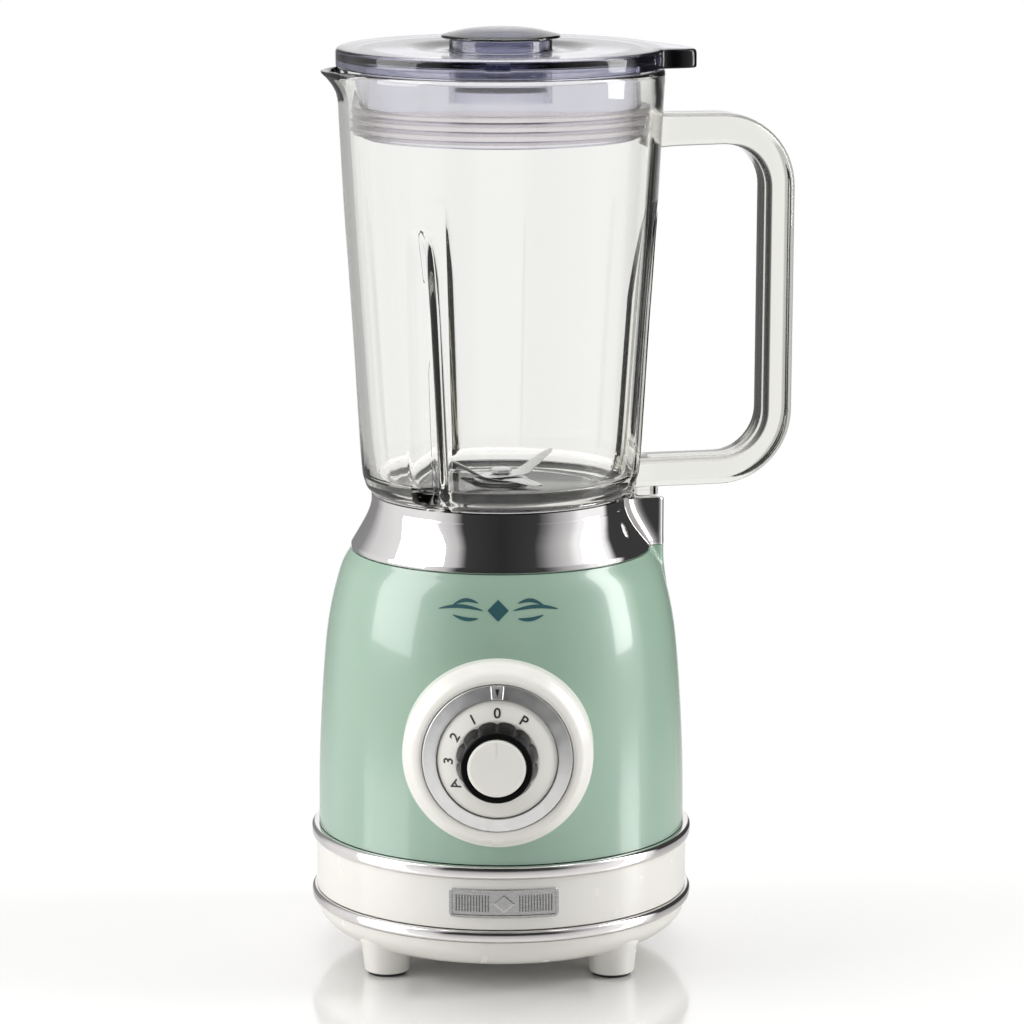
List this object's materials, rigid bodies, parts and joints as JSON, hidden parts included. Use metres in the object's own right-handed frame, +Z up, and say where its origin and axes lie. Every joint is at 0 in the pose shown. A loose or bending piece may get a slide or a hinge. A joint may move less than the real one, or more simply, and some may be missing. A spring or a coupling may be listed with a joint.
{
  "type": "countertop blender",
  "caption": "Countertop blender: round motor base with a speed dial, ribbed glass jug with handle and spout, lid and measuring cap.",
  "frame": {"origin": "on the table under the feet, below the middle of the whole object's box; the motor's axis stands at x = -22.2 mm, y = 11.3 mm", "axes": "+Z up; -Y is the front with the speed dial; the handle points to +X, turned 14 degrees towards +Y, and the spout is opposite it"},
  "size_m": [0.2124, 0.1908, 0.4083],
  "materials": {
    "green_body": "high-gloss mint green lacquer",
    "cream_plastic": "gloss off-white",
    "chrome": "mirror chrome plating",
    "badge_metal": "satin grey plate with a bright border",
    "jug_glass": "clear pressed glass with an olive tint where it is thick",
    "smoky_plastic": "translucent smoky blue-grey",
    "silicone": "milky translucent silicone",
    "steel": "bright steel",
    "gloss_black": "gloss black",
    "black_plastic": "matt black",
    "black_rubber": "matt rubber",
    "copper_wire": "enamelled copper",
    "laminated_iron": "bare laminations",
    "carbon": "graphite"
  },
  "bodies": {
    "base": {"bottom_housing": "cream_plastic", "foot_pad_front_left": "black_rubber", "foot_pad_front_right": "black_rubber", "foot_pad_rear_left": "black_rubber", "foot_pad_rear_right": "black_rubber", "lower_trim_ring": "chrome", "base_band": "cream_plastic", "upper_trim_ring": "chrome", "badge_plate": "badge_metal", "body_shell": "green_body", "chrome_collar": "chrome", "jug_seat": "black_plastic", "shaft_seal": "black_rubber", "interlock_switch": "black_plastic", "motor_plate": "black_plastic", "base_screw_1": "steel", "base_screw_2": "steel", "base_screw_3": "steel", "base_screw_4": "steel", "stator_core": "laminated_iron", "field_coil_left": "copper_wire", "field_coil_right": "copper_wire", "upper_bearing_bridge": "steel", "lower_bearing_bridge": "steel", "upper_bearing": "steel", "lower_bearing": "steel", "motor_bolt_left": "steel", "motor_bolt_right": "steel", "motor_grommet_left": "black_rubber", "motor_grommet_right": "black_rubber", "brush_holder_left": "black_plastic", "brush_holder_right": "black_plastic", "carbon_brush_left": "carbon", "carbon_brush_right": "carbon", "speed_switch": "black_plastic", "dial_bezel": "cream_plastic", "index_ring": "chrome", "cord_gland": "black_plastic"},
    "rotor": {"motor_shaft": "steel", "armature": "laminated_iron", "commutator": "copper_wire", "cooling_fan": "black_plastic", "drive_coupling": "black_plastic"},
    "speed_dial": {"dial_disc": "cream_plastic", "knob": "gloss_black", "knob_cap": "cream_plastic", "knob_shaft": "steel"},
    "pin": {"interlock_pin": "black_plastic"},
    "jug_unit": {"jug": "jug_glass", "blade_bush": "steel", "blade_gasket": "black_rubber", "bush_nut": "black_plastic"},
    "blade_unit": {"blade_shaft": "steel", "lower_blade": "steel", "upper_blade": "steel", "blade_nut": "steel", "driven_coupling": "black_plastic"},
    "lid_unit": {"lid": "smoky_plastic", "lid_gasket": "silicone"},
    "cap": {"measuring_cap": "smoky_plastic"}
  },
  "joints": [
    {"name": "speed_dial_turn", "type": "hinge", "parent": "base", "child": "speed_dial", "pos_m": [-0.0222, -0.07, 0.1065], "axis": [0, -1, 0], "range_deg": [-120, 33]},
    {"name": "motor_spin", "type": "hinge", "parent": "base", "child": "rotor", "pos_m": [-0.0222, 0.0113, 0.113], "axis": [0, 0, 1], "continuous": true},
    {"name": "jug_lift", "type": "slide", "parent": "base", "child": "jug_unit", "axis": [0, 0, 1], "range_m": [0, 0.05]},
    {"name": "interlock_rise", "type": "slide", "parent": "base", "child": "pin", "axis": [0, 0, 1], "range_m": [0, 0.0025]},
    {"name": "blade_spin", "type": "hinge", "parent": "jug_unit", "child": "blade_unit", "pos_m": [-0.0222, 0.0113, 0.212], "axis": [0, 0, 1], "continuous": true},
    {"name": "lid_lift", "type": "slide", "parent": "jug_unit", "child": "lid_unit", "axis": [0, 0, 1], "range_m": [0, 0.06]},
    {"name": "cap_lift", "type": "slide", "parent": "lid_unit", "child": "cap", "axis": [0, 0, 1], "range_m": [0, 0.04]}
  ],
  "couplings": [
    {"joint": "blade_spin", "follows": "motor_spin", "ratio": 1},
    {"joint": "interlock_rise", "follows": "jug_lift", "ratio": 0.05}
  ]
}
